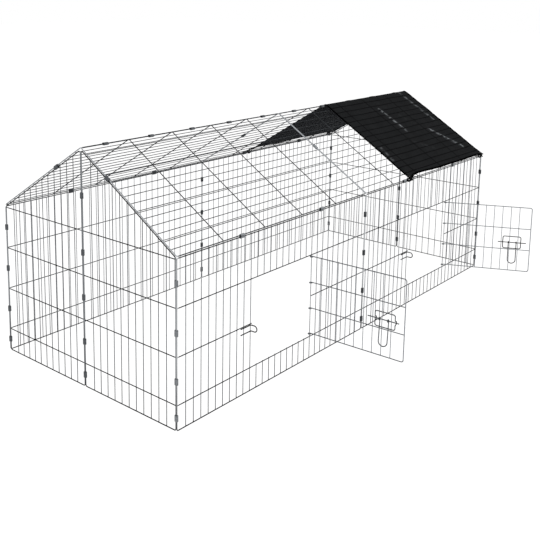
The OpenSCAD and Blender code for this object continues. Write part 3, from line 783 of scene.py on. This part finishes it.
# How far its middle lies in from the cover's side edge and from its lower edge
eyelet_in, eyelet_up = 0.0095, 0.0085
nickel, tree = new_material("nickel_plated_brass")
place = add_node(tree, "ShaderNodeTexCoord").outputs["Object"]
# Fine pressing marks and fingerprints, 1.5 mm
marks = add_node(tree, "ShaderNodeTexNoise", {
    "Vector": place, "Scale": 1 / 0.0015, "Detail": 3.0})
tone = add_node(tree, "ShaderNodeMix", {
    "Factor": marks.outputs["Fac"], 6: linear("#6e6c68"), 7: linear("#8f8d88")},
    data_type="RGBA")
dull = add_node(tree, "ShaderNodeMapRange", {
    "Value": marks.outputs["Fac"], "To Min": 0.14, "To Max": 0.3})
plate = add_node(tree, "ShaderNodeBsdfPrincipled", {
    "Base Color": tone.outputs[2], "Metallic": 1.0, "Roughness": dull.outputs[0]})
add_node(tree, "ShaderNodeOutputMaterial", {"Surface": plate.outputs[0]})

corners = {}
for front in (True, False):
    for left in (True, False):
        name = ("front" if front else "back") + ("_left" if left else "_right")
        v = eyelet_in / cover_width if left else 1 - eyelet_in / cover_width
        u = (1 - eyelet_up / roof_length) * (1 if front else -1)
        centre = cover_point(u, v)
        up = Vector((0, math.sin(roof_slope) * (-1 if front else 1), math.cos(roof_slope)))
        corners[name] = (centre, up)
        bpy.ops.object.select_all(action="DESELECT")
        bpy.ops.mesh.primitive_torus_add(major_radius=(eyelet_outside + eyelet_hole) / 2,
                                         minor_radius=(eyelet_outside - eyelet_hole) / 2,
                                         major_segments=28, minor_segments=10)
        eyelet = bpy.context.object
        eyelet.name = name + "_eyelet"
        eyelet.data.transform(Matrix.Diagonal((1, 1, eyelet_flatness, 1)))
        # The rolled rim flattens towards the outside
        bpy.ops.object.mode_set(mode="EDIT")
        pick(eyelet, "FACE", lambda face: face.calc_center_median().xy.length > 0.0045)
        bpy.ops.transform.resize(value=(1.0, 1.0, 0.6))
        bpy.ops.object.mode_set(mode="OBJECT")
        side = Vector((1, 0, 0))
        eyelet.data.transform(set_out(centre, side, up.cross(side), up))
        bpy.ops.object.shade_smooth_by_angle(angle=math.radians(60))
        eyelet.data.materials.append(nickel)
        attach(eyelet, "run")


# ---- Corner ties -------------------------------------------------------------------------------
# Black elastic cord, 3 mm thick, threaded through each eyelet and wound on the two eave wires,
# five times at the near corner and three times at the others. It is knotted outside them.
cord_r = 0.0015
left_tie_x, right_tie_x = 0.287875, 0.880813
# How far the cord's middle lies from the middle of the two wires, and from turn to turn
cord_reach, turn_pitch = 0.0059, 0.0031


def smooth_path(points, closed, steps=10):
    """Points along a smooth curve through the given ones."""
    n = len(points)
    out = []
    for i in range(n if closed else n - 1):
        a, b, c, d = (points[(i + k) % n if closed else min(max(i + k, 0), n - 1)]
                      for k in (-1, 0, 1, 2))
        for j in range(steps):
            t = j / steps
            out.append(0.5 * (2 * b + (c - a) * t + (2 * a - 5 * b + 4 * c - d) * t * t
                              + (3 * b - a - 3 * c + d) * t ** 3))
    if not closed:
        out.append(points[-1])
    return out


def braided_tube(name, paths):
    """Round cords along the given paths, in one mesh."""
    data = bpy.data.curves.new(name, "CURVE")
    data.dimensions = "3D"
    data.bevel_depth = cord_r
    data.bevel_resolution = 3
    data.use_fill_caps = True
    for points, closed in paths:
        spline = data.splines.new("POLY")
        spline.points.add(len(points) - 1)
        for point, co in zip(spline.points, points):
            point.co = (*co, 1)
        spline.use_cyclic_u = closed
    curve = bpy.data.objects.new(name + "_path", data)
    bpy.context.scene.collection.objects.link(curve)
    take_up(curve)
    bpy.ops.object.convert(target="MESH")
    tube = bpy.context.object
    tube.name = name
    bpy.ops.object.shade_smooth_by_angle(angle=math.radians(60))
    return tube


def braided_elastic(name):
    """Polyester braid over rubber: a black basket of 1 mm plaits with a soft sheen, and painted
    shade between the plaits.
    """
    material, tree = new_material(name)
    place = add_node(tree, "ShaderNodeTexCoord").outputs["Object"]
    # The plaits, 1 mm across; their colour darkens towards their sunken edges, a painted shade
    plait = add_node(tree, "ShaderNodeTexVoronoi", {"Vector": place, "Scale": 1 / 0.001})
    tone = add_node(tree, "ShaderNodeMix", {
        "Factor": plait.outputs["Distance"], 6: linear("#121213"), 7: linear("#040405")},
        data_type="RGBA")
    relief = add_node(tree, "ShaderNodeBump", {
        "Height": plait.outputs["Distance"], "Strength": 0.6, "Distance": 0.0003}, invert=True)
    braid = add_node(tree, "ShaderNodeBsdfPrincipled", {
        "Base Color": tone.outputs[2], "Roughness": 0.6, "Specular IOR Level": 0.05,
        "Normal": relief.outputs[0]})
    add_node(tree, "ShaderNodeOutputMaterial", {"Surface": braid.outputs[0]})
    return material


elastic = braided_elastic("braided_black_elastic")
for name, (centre, up) in corners.items():
    front, left = name.startswith("front"), name.endswith("left")
    out = -1 if front else 1
    wires = Vector((left_tie_x if left else right_tie_x, out * side_y, (eave_z + roof_z) / 2))
    # The near tie is bunched up to the thickest knot
    near = name == "front_left"
    knot = wires + Vector((0.005 if near else 0, out * 0.0083, 0.0025))
    knot_r, turn_count, first_turn = (0.0042, 5, -0.0045) if near else (0.0026, 3, -0.0047)
    loop = [
        knot + Vector((0, -out * 0.0018, 0.0012)),
        wires + Vector((0, out * (cord_reach + 0.0004), 0.0040)),
        wires.lerp(centre, 0.62) + Vector((0, out * 0.0035, 0.0062)),
        centre + up * 0.0022 + Vector((0, out * 0.001, 0)),
        centre - up * 0.0024,
        wires.lerp(centre, 0.4) + Vector((0, -out * 0.0060, -0.0012)),
        wires + Vector((0, -out * cord_reach, -0.0030)),
        wires + Vector((0, -out * 0.0010, -0.0060)),
        wires + Vector((0, out * 0.0040, -0.0052)),
        knot + Vector((0, -out * 0.0012, -0.0016)),
    ]
    overhand = []
    for k in range(48):
        a = 2 * math.pi * k / 48
        r = knot_r + 0.0014 * math.cos(3 * a)
        overhand.append(knot + Vector((r * math.cos(2 * a), 0.0018 * math.sin(3 * a),
                                       r * math.sin(2 * a))))
    turns = []
    for k in range(24 * turn_count + 1):
        a = 2 * math.pi * k / 24
        turns.append(wires + Vector((first_turn + turn_pitch * k / 24, cord_reach * math.sin(a),
                                     (cord_reach - 0.0004) * math.cos(a))))
    paths = [(smooth_path(loop, True), True), (overhand, True), (turns, False)]
    for turn in (-1, 1):
        paths.append((smooth_path([knot + Vector((turn * x, out * y, z)) for x, y, z in (
            (0.001, 0, -0.001), (0.004, 0.002, -0.0015), (0.0066, 0.0026, -0.0028),
            (0.0080, 0.0024, -0.0054))], False), False))
    tie = braided_tube(name + "_elastic_tie", paths)
    tie.data.materials.append(elastic)
    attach(tie, "run")
    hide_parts(name + "_cover_tie")


# ---- Update ------------------------------------------------------------------------------------
# The view layer is brought up to date.
bpy.context.view_layer.update()
